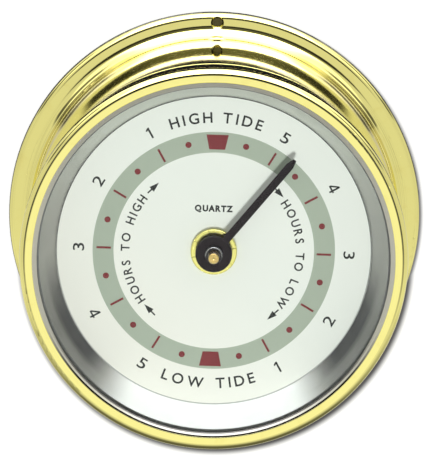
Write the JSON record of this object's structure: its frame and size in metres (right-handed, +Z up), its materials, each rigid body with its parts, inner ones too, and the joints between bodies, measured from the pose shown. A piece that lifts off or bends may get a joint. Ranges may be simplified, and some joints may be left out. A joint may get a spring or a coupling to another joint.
{
  "type": "tide clock",
  "caption": "Round wall tide clock in polished brass with a wide flange, a deep barrel, a white tide dial and one black hand under glass.",
  "frame": {"origin": "centre of the back face of the wall flange, on the wall", "axes": "+Y into the wall, so the dial faces -Y; +X to the viewer's right; +Z up, towards high tide"},
  "size_m": [0.165, 0.089, 0.165],
  "materials": {
    "polished_brass": "mirror polished, lacquered",
    "turned_brass": "fine turned",
    "clear_glass": "polished",
    "black_rubber": "matt",
    "polished_steel": "spun and polished",
    "white_enamel": "satin printed enamel",
    "black_enamel": "matt",
    "black_plastic": "fine grain",
    "white_plastic": "moulded",
    "dark_steel": "blackened",
    "bright_steel": "nickel plated",
    "magnet_grey": "sintered",
    "copper_wire": "varnished copper winding",
    "board_green": "solder mask",
    "cell_jacket": "printed sleeve",
    "red_ink": "printed on the dial",
    "sage_ink": "printed on the dial"
  },
  "bodies": {
    "clock_case": {"wall_flange": "polished_brass", "barrel": "polished_brass", "dial_seat": "polished_brass", "bezel": "polished_brass", "lens": "clear_glass", "lens_gasket": "black_rubber", "reflector_ring": "polished_steel", "dial_plate": "white_enamel", "dial_washer": "black_rubber", "dial_nut": "turned_brass", "movement_bushing": "turned_brass", "movement_housing": "black_plastic", "movement_cover": "black_plastic", "cover_screws": "bright_steel", "bearing_plate": "white_plastic", "stator": "dark_steel", "coil_bobbin": "black_plastic", "coil_winding": "copper_wire", "circuit_board": "board_green", "board_screws": "bright_steel", "timing_crystal": "bright_steel", "timer_chip": "black_plastic", "battery": "cell_jacket", "positive_contact": "bright_steel", "negative_contact": "bright_steel"},
    "tide_hand_body": {"tide_wheel": "white_plastic", "tide_hand": "black_enamel", "hand_bush": "dark_steel"},
    "setting_body": {"setting_pinion": "white_plastic", "setting_knob": "white_plastic"},
    "centre_body": {"centre_arbor": "turned_brass", "centre_wheel": "white_plastic", "clutch_washer": "bright_steel"},
    "third_body": {"third_wheel": "white_plastic"},
    "second_body": {"second_wheel": "white_plastic"},
    "rotor_body": {"rotor_pinion": "white_plastic", "rotor_magnet": "magnet_grey"}
  },
  "joints": [
    {"name": "tide_hand_turn", "type": "hinge", "parent": "clock_case", "child": "tide_hand_body", "pos_m": [0, -0.0735, 0], "axis": [0, 1, 0], "continuous": true},
    {"name": "setting_knob_turn", "type": "hinge", "parent": "clock_case", "child": "setting_body", "pos_m": [0.006, -0.0515, 0.01039], "axis": [0, 1, 0], "continuous": true},
    {"name": "third_wheel_turn", "type": "hinge", "parent": "clock_case", "child": "third_body", "pos_m": [-0.0097, -0.0585, 0.0056], "axis": [0, 1, 0], "continuous": true},
    {"name": "centre_arbor_turn", "type": "hinge", "parent": "clock_case", "child": "centre_body", "pos_m": [0, -0.0585, 0], "axis": [0, 1, 0], "continuous": true},
    {"name": "second_wheel_turn", "type": "hinge", "parent": "clock_case", "child": "second_body", "pos_m": [-0.0049, -0.0585, 0.01391], "axis": [0, 1, 0], "continuous": true},
    {"name": "rotor_turn", "type": "hinge", "parent": "clock_case", "child": "rotor_body", "pos_m": [0.00189, -0.0585, 0.0207], "axis": [0, 1, 0], "continuous": true}
  ],
  "couplings": [
    {"joint": "setting_knob_turn", "follows": "tide_hand_turn", "ratio": -3},
    {"joint": "centre_arbor_turn", "follows": "third_wheel_turn", "ratio": -0.16667},
    {"joint": "second_wheel_turn", "follows": "third_wheel_turn", "ratio": -5},
    {"joint": "rotor_turn", "follows": "third_wheel_turn", "ratio": 25}
  ]
}
